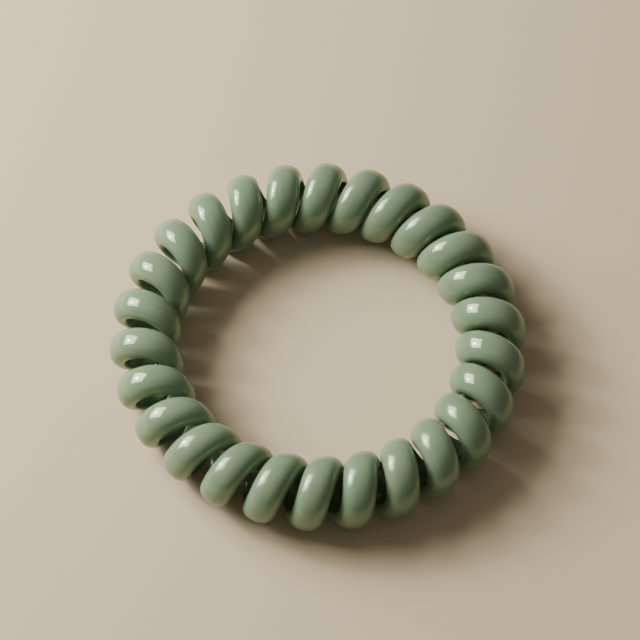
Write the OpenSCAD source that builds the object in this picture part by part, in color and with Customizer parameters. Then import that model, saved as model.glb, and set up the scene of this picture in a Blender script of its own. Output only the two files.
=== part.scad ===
// Spiral hair tie: one springy plastic strand wound into a coil of turns that lie
// side by side, with its two ends fused so that the coil closes into a ring.
// Units are millimetres. The ring lies flat, its centre is over the origin, and its
// lowest turns touch Z = 0.

/* [Strand] */
// Width across the strand
strand_w = 4.35; // [3:0.05:6]
// Height of the rounded outer side above the strand's widest line
crown_h = 1.8; // [0.8:0.1:2.4]
// Depth of the flatter inner side below the strand's widest line
base_h = 0.7; // [0.3:0.1:1.2]
// Fullness of the outer side, where 2 is an ellipse and more is squarer
crown_power = 2.2; // [2:0.1:4]
// Fullness of the inner side, where 2 is an ellipse and more is squarer
base_power = 3; // [2:0.1:6]

/* [Coil] */
// Degrees that the strand is rolled about its own length, so that each turn overhangs the next
strand_roll = 7; // [0:1:15]
// Number of turns in the closed coil
turns = 26; // [12:1:40]
// Outside diameter across one turn
coil_d = 9.5; // [7.6:0.1:14]
// Least gap between neighbouring turns, which lie closest round the inside of the ring
turn_gap = 0.05; // [0.05:0.05:1.5]
// Degrees round the ring that the top of each turn leans back, and its foot forward, from
// the way in which the coil winds on
turn_lean = 0.7; // [0:0.1:1]
// Degrees that the turns stray from even spacing, in a wave that goes once round the ring
stray_once = 0.45; // [0:0.05:1.5]
// Degrees that they stray in a second wave, which goes round the ring twice
stray_twice = 0.8; // [0:0.05:1.5]

/* [Hidden] */

strand_color = [0.56, 0.65, 0.53];

// Points along the rounded outer side of the strand's section, and along its flatter
// inner side between the outer side's ends
crown_points = 7;
base_points = 4;
section_points = crown_points + base_points;

// Sections along the strand. Each turn has a multiple of 4, so that one lies at its
// very outside, top, inside and bottom, and the whole keeps to the number of facets.
most_triangles = 12000;
sections_per_turn = 4 * floor(most_triangles / (8 * section_points * turns));
section_count = turns * sections_per_turn;

// One coordinate of a rounded outline, where power 2 gives an ellipse
function bulge(x, power) = sign(x) * pow(abs(x), 2 / power);

// The strand's section: x runs across the strand and y out from the coil's middle line
crown_outline = [
    for (i = [0 : crown_points - 1])
        let (a = 180 * i / (crown_points - 1))
            [strand_w / 2 * bulge(cos(a), crown_power), crown_h * bulge(sin(a), crown_power)]
];
base_outline = [
    for (i = [1 : base_points])
        let (a = 180 + 180 * i / (base_points + 1))
            [strand_w / 2 * bulge(cos(a), base_power), base_h * bulge(sin(a), base_power)]
];
strand_outline = concat(crown_outline, base_outline);

// How far the rolled strand reaches out from its widest line
out_reach = max([for (p = strand_outline) p.y * cos(strand_roll) + p.x * sin(strand_roll)]);

// Distance from the coil's middle line to the strand's widest line
widest_r = coil_d / 2 - out_reach;

// Angle round the ring of the turn that even spacing would put at even_a
function round_at(even_a) = even_a - stray_once * sin(even_a) + stray_twice * sin(2 * even_a);

// Spacing of the turns there, as a share of even spacing
function spread_at(even_a) =
    1 + PI / 180 * (2 * stray_twice * cos(2 * even_a) - stray_once * cos(even_a));

// Angle round the ring by which a leaning turn is off there, and how fast that grows as
// turn_a does. turn_a is the angle within a turn, 0 at the ring's outside and 90 at the top.
function lean_at(turn_a) = -turn_lean * sin(turn_a);
function lean_growth(turn_a) = -PI / 180 * turn_lean * cos(turn_a);

// Number of turns that would fill the whole ring at the spacing where they lie closest
crowded_turns = turns / min([for (even_a = [0 : 359]) spread_at(even_a)]);

// Distance r from the ring's centre at which turns that wide would touch, where they lie
// closest. The strand crosses the ring's inside at a slant, so each turn there takes up
// width = 2 * PI * r / crowded_turns * cos(slant), with tan(slant) = r * slant_growth,
// solved here for r.
slant_growth = (1 / crowded_turns + lean_growth(180)) / widest_r;
function touching_r(width) =
    width / sqrt(pow(2 * PI / crowded_turns, 2) - pow(width * slant_growth, 2));

// Distance from the ring's centre to the widest line, which leaves the gap at every
// height of the outer side
inside_r = max([for (p = crown_outline) touching_r(2 * abs(p.x) + turn_gap) + p.y]);

// Distance from the ring's centre to the coil's middle line
ring_r = inside_r + widest_r;

// Directions at one section, where round_a is the angle round the ring
function ring_out(round_a) = [cos(round_a), sin(round_a), 0];
function ring_along(round_a) = [-sin(round_a), cos(round_a), 0];
function turn_out(round_a, turn_a) = cos(turn_a) * ring_out(round_a) + sin(turn_a) * [0, 0, 1];
function turn_along(round_a, turn_a) = -sin(turn_a) * ring_out(round_a) + cos(turn_a) * [0, 0, 1];
function unit(v) = v / norm(v);

// Direction in which the strand runs: round the turn, and slowly on along the ring
function strand_along(round_a, turn_a, spread) = unit(
    (spread / turns + lean_growth(turn_a)) * (ring_r + widest_r * cos(turn_a)) * ring_along(round_a)
    + widest_r * turn_along(round_a, turn_a)
);

// The points of section number i, set square to the strand and rolled about it
function section_at(i) =
    let (
        even_a = 360 * i / section_count,
        turn_a = 360 * i / sections_per_turn,
        round_a = round_at(even_a) + lean_at(turn_a),
        out = turn_out(round_a, turn_a),
        across = cross(strand_along(round_a, turn_a, spread_at(even_a)), out),
        rolled_out = cos(strand_roll) * out - sin(strand_roll) * across,
        rolled_across = cos(strand_roll) * across + sin(strand_roll) * out,
        middle = ring_r * ring_out(round_a) + widest_r * out
    )
    [for (p = strand_outline) middle + p.x * rolled_across + p.y * rolled_out];

// Number of point k of section i, where the last section runs on into the first
function point_at(i, k) = (i % section_count) * section_points + k % section_points;

// The closed coil, with its middle line level at Z = 0
module strand() {
    points = [for (i = [0 : section_count - 1]) each section_at(i)];
    faces = [
        for (i = [0 : section_count - 1], k = [0 : section_points - 1])
            each [
                [point_at(i, k), point_at(i + 1, k), point_at(i + 1, k + 1)],
                [point_at(i, k), point_at(i + 1, k + 1), point_at(i, k + 1)]
            ]
    ];
    polyhedron(points = points, faces = faces, convexity = 20);
}

// The strand, resting on Z = 0
module coil_strand() {
    color(strand_color)
        translate([0, 0, coil_d / 2])
            strand();
}

coil_strand();
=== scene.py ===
import math

import bpy
from mathutils import Matrix, Vector


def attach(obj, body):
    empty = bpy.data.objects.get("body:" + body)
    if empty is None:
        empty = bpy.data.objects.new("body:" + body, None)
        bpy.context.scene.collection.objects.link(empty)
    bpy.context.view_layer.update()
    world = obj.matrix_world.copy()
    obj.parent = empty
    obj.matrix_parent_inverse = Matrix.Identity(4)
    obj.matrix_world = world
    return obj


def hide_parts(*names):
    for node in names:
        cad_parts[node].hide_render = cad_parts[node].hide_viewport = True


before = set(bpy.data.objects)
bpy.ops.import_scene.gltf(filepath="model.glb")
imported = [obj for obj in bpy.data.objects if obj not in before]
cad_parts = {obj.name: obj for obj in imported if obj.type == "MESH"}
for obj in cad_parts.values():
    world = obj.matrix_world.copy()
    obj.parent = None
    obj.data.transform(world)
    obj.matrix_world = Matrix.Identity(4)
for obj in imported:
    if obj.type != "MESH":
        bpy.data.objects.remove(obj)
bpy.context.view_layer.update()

# The strand and the coil, in metres, as the frame's solid has them
MM = 0.001
STRAND_W = 4.35 * MM
CROWN_H = 1.8 * MM
BASE_H = 0.7 * MM
CROWN_POWER = 2.2
BASE_POWER = 3.0
TURNS = 26
COIL_D = 9.5 * MM
RING_MIDDLE = Vector((0.0, 0.0, COIL_D / 2))
# Degrees that the strand is rolled about its own length
STRAND_ROLL = 7.0
TURN_GAP = 0.05 * MM
# Degrees round the ring by which the top of each turn leans back
TURN_LEAN = 0.7
# Waves, in degrees, by which the turns stray from even spacing round the ring
STRAY_ONCE = 0.45
STRAY_TWICE = 0.8

# Distance round the strand's section, by which the lines of its finish are scaled
STRAND_GIRTH = 11.4 * MM

# Points closer than this are made one, which closes the coil's two seams
CLOSING_GAP = 0.005 * MM

# Colours of the plastic and of what marks it
DEEP_SAGE = (0.142, 0.211, 0.136)
PALE_SAGE = (0.162, 0.236, 0.152)
STREAK_SAGE = (0.205, 0.28, 0.2)
SCUFF = (0.34, 0.42, 0.32)
DUST = (0.6, 0.62, 0.52)

# Scales of the patterns in the plastic, each in waves or cells to the metre
CLOUD_SCALE = 0.28 / MM
GRAIN_SCALE = 3.5 / MM
SWELL_SCALE = 0.9 / MM
SPECK_SCALE = 0.55 / MM
STREAKED_SCALE = 0.07 / MM
SCUFFED_SCALE = 0.09 / MM
WORN_SCALE = 0.03 / MM

# Heights of the noise at which each pattern begins to show and shows in full
CLOUD_EDGES = (0.45, 0.95)
STREAK_EDGES = (0.4, 0.7)
HAIRLINE_EDGES = (0.66, 0.72)
STREAKED_EDGES = (0.4, 0.6)
SCUFFED_EDGES = (0.52, 0.62)
WORN_EDGES = (0.4, 0.6)
DULL_EDGES = (0.3, 0.7)

# How much the grain counts beside the clouds, and how far from a speck's middle, as a
# share of its cell, it begins to fade and is gone
GRAIN_IN_CLOUDS = 0.4
SPECK_EDGES = (0.03, 0.055)

# Where in the noise the patterns of streaked and of scuffed turns are read
STREAKED_FROM = (0.0, 0.0, 200 * MM)
SCUFFED_FROM = (0.0, 0.0, 440 * MM)

# Length along the strand and width across it of the streaks and the hairlines
STREAK_LENGTH = 16 * MM
STREAK_WIDTH = 0.25 * MM
HAIRLINE_LENGTH = 5 * MM
HAIRLINE_WIDTH = 0.09 * MM

# How much of each mark shows in the colour, and how much more of a streak on a streaked turn
STREAK_SHARE = 0.12
STREAKED_SHARE = 0.2
HAIRLINE_SHARE = 0.12
SPECK_SHARE = 0.75

# Share of the scatter's cells that hold no speck
SPECKLESS = 0.8

# Roughness of the glossiest plastic, and what each thing adds to it
GLOSSY = 0.09
CLOUD_ROUGHNESS = 0.03
WORN_ROUGHNESS = 0.11
HAIRLINE_ROUGHNESS = 0.15
SPECK_ROUGHNESS = 0.4

# Shine of the plastic, and how deep its softness lets light in
ELASTOMER_IOR = 1.54
SHINE = 0.7
SHINE_TINT = (0.78, 1.0, 0.7)
SOFTNESS = 0.25
SOFT_RADII = (0.9, 1.0, 0.6)
SOFT_DEPTH = 1.2 * MM

# Height of the relief, and the share of it that each thing raises, or sinks with a minus
RELIEF = 0.006 * MM
SWELL_RELIEF = 0.5
GRAIN_RELIEF = 0.08
STREAK_RELIEF = 0.25
HAIRLINE_RELIEF = -0.25
SPECK_RELIEF = 0.5

# Sections along the strand in each turn, and points round each section
SECTIONS_PER_TURN = 64
SECTION_POINTS = 48

# The photograph's width and height in pixels, and the pixel where the middle of the ring shows
PICTURE_SIDE = 640
RING_MIDDLE_AT = (318.6, 340.2)
# Pixels that a millimetre takes at the middle of the ring
PIXELS_PER_MM = 7.61

# The camera, by its distance from the middle of the ring, its height above the
# floor and its place round the ring, in degrees
VIEW_DISTANCE = 320 * MM
VIEW_ELEVATION = 58.8
VIEW_AZIMUTH = 7.6
VIEW_ROLL = 3.0
SENSOR_W = 36.0

# The soft lights, each with its place as seen from the middle of the ring: azimuth 0 is
# the camera's side and -90 its left, in degrees
LIGHTS = (
    {
        "name": "window", "azimuth": -111.5, "elevation": 35, "distance": 345 * MM,
        "width": 245 * MM, "height": 205 * MM, "power": 2.85, "color": (1.0, 0.97, 0.87),
    },
    {
        "name": "brightest pane", "azimuth": -109, "elevation": 32, "distance": 340 * MM,
        "width": 50 * MM, "height": 50 * MM, "power": 0.6, "color": (1.0, 0.98, 0.9),
    },
)
ROOM_COLOR = (1.0, 0.93, 0.78)
ROOM_STRENGTH = 0.22

FLOOR_COLOR = (0.56, 0.46, 0.325)
FLOOR_ROUGHNESS = 0.9
FLOOR_HALF = 1500 * MM


class Wire:
    """One output of a node, which sums and products in Python build on."""

    def __init__(self, tree, socket):
        self.tree = tree
        self.socket = socket

    @staticmethod
    def made_in(tree, kind, settings=None, values=None, output=0):
        """A new node of that kind in a tree, and the Wire of one of its outputs."""
        made = tree.nodes.new(kind)
        for name, setting in (settings or {}).items():
            setattr(made, name, setting)
        for name, value in (values or {}).items():
            plug(tree, made.inputs[name], value)
        return Wire(tree, made.outputs[output])

    def node(self, kind, settings=None, values=None, output=0):
        """A new node of that kind in this Wire's own tree."""
        return Wire.made_in(self.tree, kind, settings, values, output)

    def has_direction(self, other):
        """Whether this Wire or the other value is a vector."""
        if isinstance(other, Wire):
            return "VECTOR" in (self.socket.type, other.socket.type)
        return self.socket.type == "VECTOR" or isinstance(other, (tuple, Vector))

    def math(self, operation, *values):
        """A Math node on these values, or a Vector Math node where one of them is a vector."""
        vectors = any(self.has_direction(value) for value in values)
        kind = "ShaderNodeVectorMath" if vectors else "ShaderNodeMath"
        return self.node(kind, {"operation": operation}, dict(enumerate(values)))

    def __add__(self, other):
        return self.math("ADD", self, other)

    def __radd__(self, other):
        return self.math("ADD", other, self)

    def __sub__(self, other):
        return self.math("SUBTRACT", self, other)

    def __rsub__(self, other):
        return self.math("SUBTRACT", other, self)

    def __mul__(self, other):
        if not self.has_direction(other):
            return self.math("MULTIPLY", self, other)
        vector, factor = (self, other) if self.socket.type == "VECTOR" else (other, self)
        return self.node("ShaderNodeVectorMath", {"operation": "SCALE"}, {0: vector, "Scale": factor})

    def __rmul__(self, other):
        return self * other

    def __truediv__(self, other):
        return self.math("DIVIDE", self, other)

    def __rtruediv__(self, other):
        return self.math("DIVIDE", other, self)

    def __pow__(self, other):
        return self.math("POWER", self, other)

    def above(self, limit):
        """1 where this is more than the limit, and otherwise 0."""
        return self.math("GREATER_THAN", self, limit)

    def direction(self):
        """This vector at a length of 1."""
        return self.node("ShaderNodeVectorMath", {"operation": "NORMALIZE"}, {0: self})


def plug(tree, socket, value):
    """Links a Wire to an input, or sets a plain value there."""
    if isinstance(value, Wire):
        tree.links.new(value.socket, socket)
    else:
        socket.default_value = value


def vector_of(x, y, z):
    """A vector from three values, of which at least one is a Wire."""
    wire = next(value for value in (x, y, z) if isinstance(value, Wire))
    return wire.node("ShaderNodeCombineXYZ", None, {"X": x, "Y": y, "Z": z})


def parts_of(vector):
    """The three values that a vector is made of."""
    made = vector.node("ShaderNodeSeparateXYZ", None, {"Vector": vector}).socket.node
    return [Wire(vector.tree, output) for output in made.outputs]


def cosine(angle):
    return angle.math("COSINE", angle)


def sine(angle):
    return angle.math("SINE", angle)


def bulge(value, power):
    """One coordinate of a rounded outline, where power 2 gives an ellipse."""
    size = value.math("ABSOLUTE", value) ** (2 / power)
    return value.math("SIGN", value) * size


def choose(mask, yes, no):
    """yes where the mask is 1, and no where it is 0."""
    return mask * yes + (1 - mask) * no


def out_reach():
    """How far the rolled strand reaches out from its widest line."""
    roll = math.radians(STRAND_ROLL)
    reaches = []
    for degree in range(181):
        section_a = math.radians(degree)
        side = math.copysign(abs(math.cos(section_a)) ** (2 / CROWN_POWER), math.cos(section_a))
        height = math.sin(section_a) ** (2 / CROWN_POWER)
        reaches.append(CROWN_H * height * math.cos(roll) + STRAND_W / 2 * side * math.sin(roll))
    return max(reaches)


def crowded_turns():
    """Number of turns that would fill the whole ring at the spacing where they lie closest."""
    spreads = []
    for degree in range(360):
        even_a = math.radians(degree)
        once = math.radians(STRAY_ONCE) * math.cos(even_a)
        twice = 2 * math.radians(STRAY_TWICE) * math.cos(2 * even_a)
        spreads.append(1 - once + twice)
    return TURNS / min(spreads)


def widest_radius():
    """Distance from the coil's middle line to the strand's widest line."""
    return COIL_D / 2 - out_reach()


def ring_radius():
    """Distance from the ring's centre to the coil's middle line."""
    crowded = crowded_turns()
    widest_r = widest_radius()
    width = STRAND_W + TURN_GAP
    slant_growth = (1 / crowded + math.radians(TURN_LEAN)) / widest_r
    inside_r = width / math.sqrt((math.tau / crowded) ** 2 - (width * slant_growth) ** 2)
    return inside_r + widest_r


def strand_length():
    """Length of the strand's widest line, once round the whole coil."""
    once_round = math.tau * widest_radius()
    onward = math.tau * ring_radius() / TURNS
    return TURNS * math.hypot(once_round, onward)


def coil_tree(material):
    """Geometry Nodes that bend a flat grid into the strand's closed coil."""
    tree = bpy.data.node_groups.new("coil of one strand", "GeometryNodeTree")
    inputs = {}
    for name, kind, value in (
        ("Strand Width", "NodeSocketFloat", STRAND_W),
        ("Crown Height", "NodeSocketFloat", CROWN_H),
        ("Base Depth", "NodeSocketFloat", BASE_H),
        ("Crown Power", "NodeSocketFloat", CROWN_POWER),
        ("Base Power", "NodeSocketFloat", BASE_POWER),
        ("Turns", "NodeSocketInt", TURNS),
        ("Coil Diameter", "NodeSocketFloat", COIL_D),
        ("Strand Roll", "NodeSocketFloat", math.radians(STRAND_ROLL)),
        ("Widest Radius", "NodeSocketFloat", widest_radius()),
        ("Ring Radius", "NodeSocketFloat", ring_radius()),
        ("Turn Lean", "NodeSocketFloat", math.radians(TURN_LEAN)),
        ("Stray Once", "NodeSocketFloat", math.radians(STRAY_ONCE)),
        ("Stray Twice", "NodeSocketFloat", math.radians(STRAY_TWICE)),
        ("Sections", "NodeSocketInt", TURNS * SECTIONS_PER_TURN + 1),
        ("Section Points", "NodeSocketInt", SECTION_POINTS + 1),
    ):
        socket = tree.interface.new_socket(name=name, in_out="INPUT", socket_type=kind)
        inputs[name] = (socket.identifier, value)
    tree.interface.new_socket(name="Geometry", in_out="OUTPUT", socket_type="NodeSocketGeometry")
    group = tree.nodes.new("NodeGroupInput")
    size = {name: Wire(tree, group.outputs[name]) for name in inputs}
    strand_w, crown_h, base_h = size["Strand Width"], size["Crown Height"], size["Base Depth"]
    turns, widest_r, ring_r = size["Turns"], size["Widest Radius"], size["Ring Radius"]

    # A flat sheet, 1 by 1, whose X runs along the strand and whose Y runs round it. The
    # first Wire makes the tree's nodes that have no sum to come from.
    start = size["Sections"]
    counts = {"Vertices X": size["Sections"], "Vertices Y": size["Section Points"]}
    grid = start.node("GeometryNodeMeshGrid", None, {"Size X": 1.0, "Size Y": 1.0, **counts})
    uv = Wire(tree, grid.socket.node.outputs["UV Map"])
    sheet = start.node(
        "GeometryNodeStoreNamedAttribute", {"data_type": "FLOAT2", "domain": "CORNER"},
        {"Geometry": grid, "Name": "UVMap", "Value": uv},
    )
    place = start.node("GeometryNodeInputPosition")
    along_strand, round_strand, _ = parts_of(place)
    even_a = (along_strand + 0.5) * math.tau
    section_a = (round_strand + 0.5) * math.tau
    turn_a = even_a * turns
    once, twice, lean = size["Stray Once"], size["Stray Twice"], size["Turn Lean"]
    round_a = even_a - once * sine(even_a) + twice * sine(even_a * 2.0) - lean * sine(turn_a)
    spread = 1.0 - once * cosine(even_a) + twice * 2.0 * cosine(even_a * 2.0)
    onward = spread / turns - lean * cosine(turn_a)

    # Directions at each point
    ring_out = vector_of(cosine(round_a), sine(round_a), 0.0)
    ring_along = vector_of(0.0 - sine(round_a), cosine(round_a), 0.0)
    turn_out = ring_out * cosine(turn_a) + vector_of(0.0, 0.0, sine(turn_a))
    turn_along = vector_of(0.0, 0.0, cosine(turn_a)) - ring_out * sine(turn_a)
    strand_along = (
        ring_along * (onward * (ring_r + widest_r * cosine(turn_a)))
        + turn_along * widest_r
    ).direction()
    across = strand_along.math("CROSS_PRODUCT", strand_along, turn_out)

    # The section, a rounded crown over a flatter base
    side = cosine(section_a)
    height = sine(section_a)
    on_crown = height.above(0.0)
    crown_power, base_power = size["Crown Power"], size["Base Power"]
    section_x = choose(on_crown, bulge(side, crown_power), bulge(side, base_power)) * (strand_w * 0.5)
    section_y = choose(on_crown, bulge(height, crown_power) * crown_h, bulge(height, base_power) * base_h)

    # The section is rolled about the strand's length
    roll = size["Strand Roll"]
    rolled_out = turn_out * cosine(roll) - across * sine(roll)
    rolled_across = across * cosine(roll) + turn_out * sine(roll)
    point = ring_out * ring_r + turn_out * widest_r + rolled_out * section_y + rolled_across * section_x
    point = point + vector_of(0.0, 0.0, size["Coil Diameter"] * 0.5)
    bent = start.node("GeometryNodeSetPosition", None, {"Geometry": sheet, "Position": point})
    closed = start.node("GeometryNodeMergeByDistance", None, {"Geometry": bent, "Distance": CLOSING_GAP})
    smooth = start.node("GeometryNodeSetShadeSmooth", None, {"Geometry": closed, "Shade Smooth": True})
    real = start.node("GeometryNodeRealizeInstances", None, {"Geometry": smooth})
    made = start.node("GeometryNodeSetMaterial", None, {"Geometry": real, "Material": material})
    output = tree.nodes.new("NodeGroupOutput")
    tree.links.new(made.socket, output.inputs["Geometry"])
    return tree, inputs


def coil_piece(material):
    """The whole coil as one plain mesh."""
    tree, inputs = coil_tree(material)
    piece = bpy.data.objects.new("strand", bpy.data.meshes.new("strand"))
    bpy.context.scene.collection.objects.link(piece)
    modifier = piece.modifiers.new("coil", "NODES")
    modifier.node_group = tree
    for identifier, value in inputs.values():
        modifier[identifier] = value
    depsgraph = bpy.context.evaluated_depsgraph_get()
    mesh = bpy.data.meshes.new_from_object(piece.evaluated_get(depsgraph))
    piece.modifiers.remove(modifier)
    piece.data = mesh
    return piece


def noise(place, scale, detail):
    """Smooth noise between 0 and 1 at a place in space."""
    values = {"Vector": place, "Scale": scale, "Detail": detail}
    return place.node("ShaderNodeTexNoise", {"noise_dimensions": "3D"}, values)


def strand_noise(uv, grain_length, grain_width, detail):
    """Noise drawn out along the strand, which runs on without a seam where the coil closes."""
    share_along, share_round, _ = parts_of(uv)
    along_a = share_along * math.tau
    round_a = share_round * math.tau
    along_r = strand_length() / grain_length / math.tau
    round_r = STRAND_GIRTH / grain_width / math.tau
    around = cosine(round_a) * round_r
    place = vector_of(cosine(along_a) * along_r, sine(along_a) * along_r, around)
    values = {"Vector": place, "W": sine(round_a) * round_r, "Scale": 1.0, "Detail": detail}
    return uv.node("ShaderNodeTexNoise", {"noise_dimensions": "4D"}, values)


def ramp_up(value, low, high):
    """0 up to low, 1 from high, and a smooth rise between them."""
    values = {"Value": value, "From Min": low, "From Max": high, "To Min": 0.0, "To Max": 1.0}
    return value.node("ShaderNodeMapRange", {"interpolation_type": "SMOOTHSTEP"}, values)


def blend(share, under, over):
    """One colour laid over another, where the share is how much of it shows."""
    settings = {"data_type": "RGBA", "blend_type": "MIX"}
    return share.node("ShaderNodeMix", settings, {0: share, 6: under, 7: over}, output=2)


def strand_plastic():
    """Glossy sage green elastomer, with clouds in its colour, drawn lines along it and a little dust."""
    material = bpy.data.materials.new("sage elastomer")
    material.use_nodes = True
    tree = material.node_tree
    shader = tree.nodes["Principled BSDF"]
    uv = Wire.made_in(tree, "ShaderNodeUVMap", {"uv_map": "UVMap"})
    place = Wire.made_in(tree, "ShaderNodeTexCoord", output="Object")

    # Clouds a few millimetres wide with a fine grain in them, and streaks that the die drew
    # along the strand, which show on some turns more than on others
    clouds = noise(place, CLOUD_SCALE, detail=3.0)
    grain = noise(place, GRAIN_SCALE, detail=1.0)
    cloud_share = ramp_up(clouds + grain * GRAIN_IN_CLOUDS, *CLOUD_EDGES)
    color = blend(cloud_share, (*DEEP_SAGE, 1.0), (*PALE_SAGE, 1.0))
    streaks = strand_noise(uv, STREAK_LENGTH, STREAK_WIDTH, detail=2.0)
    streaked = ramp_up(noise(place + STREAKED_FROM, STREAKED_SCALE, detail=0.0), *STREAKED_EDGES)
    streak_share = ramp_up(streaks, *STREAK_EDGES) * (STREAK_SHARE + streaked * STREAKED_SHARE)
    color = blend(streak_share, color, (*STREAK_SAGE, 1.0))

    # Hairline scuffs along some turns, and none along most
    scuffed = ramp_up(noise(place + SCUFFED_FROM, SCUFFED_SCALE, detail=1.0), *SCUFFED_EDGES)
    fine_lines = strand_noise(uv, HAIRLINE_LENGTH, HAIRLINE_WIDTH, detail=1.0)
    hairlines = ramp_up(fine_lines, *HAIRLINE_EDGES) * scuffed
    color = blend(hairlines * HAIRLINE_SHARE, color, (*SCUFF, 1.0))

    # Specks of dust, one in some of the cells of an even scatter
    cells = place.node("ShaderNodeTexVoronoi", {"feature": "F1"}, {"Vector": place, "Scale": SPECK_SCALE})
    chosen = parts_of(Wire(tree, cells.socket.node.outputs["Color"]))[0].above(SPECKLESS)
    specks = (1 - ramp_up(cells, *SPECK_EDGES)) * chosen
    color = blend(specks * SPECK_SHARE, color, (*DUST, 1.0))
    plug(tree, shader.inputs["Base Color"], color)

    # Glossy turns, and others that handling has worn to a satin finish
    worn = ramp_up(noise(place, WORN_SCALE, detail=0.0), *WORN_EDGES)
    rough = GLOSSY + ramp_up(clouds, *DULL_EDGES) * CLOUD_ROUGHNESS + worn * WORN_ROUGHNESS
    rough = rough + hairlines * HAIRLINE_ROUGHNESS + specks * SPECK_ROUGHNESS
    plug(tree, shader.inputs["Roughness"], rough)

    # The faint swell of drawn plastic, under its finer lines
    swell = noise(place, SWELL_SCALE, detail=1.0)
    height = swell * SWELL_RELIEF + grain * GRAIN_RELIEF + streaks * STREAK_RELIEF
    height = height + hairlines * HAIRLINE_RELIEF + specks * SPECK_RELIEF
    bump = height.node("ShaderNodeBump", None, {"Strength": 1.0, "Distance": RELIEF, "Height": height})
    plug(tree, shader.inputs["Normal"], bump)

    shader.inputs["IOR"].default_value = ELASTOMER_IOR
    shader.inputs["Specular IOR Level"].default_value = SHINE
    shader.inputs["Specular Tint"].default_value = (*SHINE_TINT, 1.0)
    shader.inputs["Subsurface Weight"].default_value = SOFTNESS
    shader.inputs["Subsurface Radius"].default_value = SOFT_RADII
    shader.inputs["Subsurface Scale"].default_value = SOFT_DEPTH
    return material


def floor():
    """A plain pale floor."""
    material = bpy.data.materials.new("pale floor")
    material.use_nodes = True
    shader = material.node_tree.nodes["Principled BSDF"]
    shader.inputs["Base Color"].default_value = (*FLOOR_COLOR, 1.0)
    shader.inputs["Roughness"].default_value = FLOOR_ROUGHNESS
    mesh = bpy.data.meshes.new("floor")
    corners = [(x * FLOOR_HALF, y * FLOOR_HALF, 0) for x, y in ((-1, -1), (1, -1), (1, 1), (-1, 1))]
    mesh.from_pydata(corners, [], [(0, 1, 2, 3)])
    mesh.materials.append(material)
    plane = bpy.data.objects.new("floor", mesh)
    bpy.context.scene.collection.objects.link(plane)


def from_middle(azimuth, elevation, distance):
    """A place seen from the middle of the ring: azimuth 0 is the camera's side, 90 its right."""
    turned = math.radians(azimuth + VIEW_AZIMUTH)
    height = math.radians(elevation)
    level = Vector((math.sin(turned), -math.cos(turned), 0.0))
    away = level * math.cos(height) + Vector((0.0, 0.0, math.sin(height)))
    return RING_MIDDLE + away * distance


def soft_light(name, azimuth, elevation, distance, width, height, power, color):
    """A soft light that faces the middle of the ring."""
    lamp = bpy.data.lights.new(name, "AREA")
    lamp.shape = "RECTANGLE"
    lamp.size = width
    lamp.size_y = height
    lamp.energy = power
    lamp.color = color
    place = from_middle(azimuth, elevation, distance)
    lit = bpy.data.objects.new(name, lamp)
    lit.location = place
    lit.rotation_euler = (RING_MIDDLE - place).to_track_quat("-Z", "Y").to_euler()
    bpy.context.scene.collection.objects.link(lit)


def lights():
    """The soft lights, and the even glow of the room around them."""
    for light in LIGHTS:
        soft_light(**light)
    world = bpy.data.worlds.new("room")
    world.use_nodes = True
    glow = world.node_tree.nodes["Background"]
    glow.inputs["Color"].default_value = (*ROOM_COLOR, 1.0)
    glow.inputs["Strength"].default_value = ROOM_STRENGTH
    bpy.context.scene.world = world


def camera():
    """The camera, turned so that the middle of the ring shows where the photograph has it."""
    pixels = PIXELS_PER_MM * VIEW_DISTANCE / MM
    view = bpy.data.cameras.new("camera")
    view.sensor_width = SENSOR_W
    view.lens = pixels * SENSOR_W / PICTURE_SIDE
    view.clip_start = 10 * MM
    eye = bpy.data.objects.new("camera", view)
    bpy.context.scene.collection.objects.link(eye)
    place = from_middle(0, VIEW_ELEVATION, VIEW_DISTANCE)
    turn = (RING_MIDDLE - place).to_track_quat("-Z", "Y").to_matrix().to_4x4()
    roll = Matrix.Rotation(math.radians(VIEW_ROLL), 4, "Z")
    right = math.atan((RING_MIDDLE_AT[0] - PICTURE_SIDE / 2) / pixels)
    down = math.atan((RING_MIDDLE_AT[1] - PICTURE_SIDE / 2) / pixels)
    aim = Matrix.Rotation(right, 4, "Y") @ Matrix.Rotation(down, 4, "X")
    eye.matrix_world = Matrix.Translation(place) @ turn @ roll @ aim
    bpy.context.scene.camera = eye


camera()
lights()
floor()
strand = coil_piece(strand_plastic())
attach(strand, "root")
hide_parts("coil_strand")
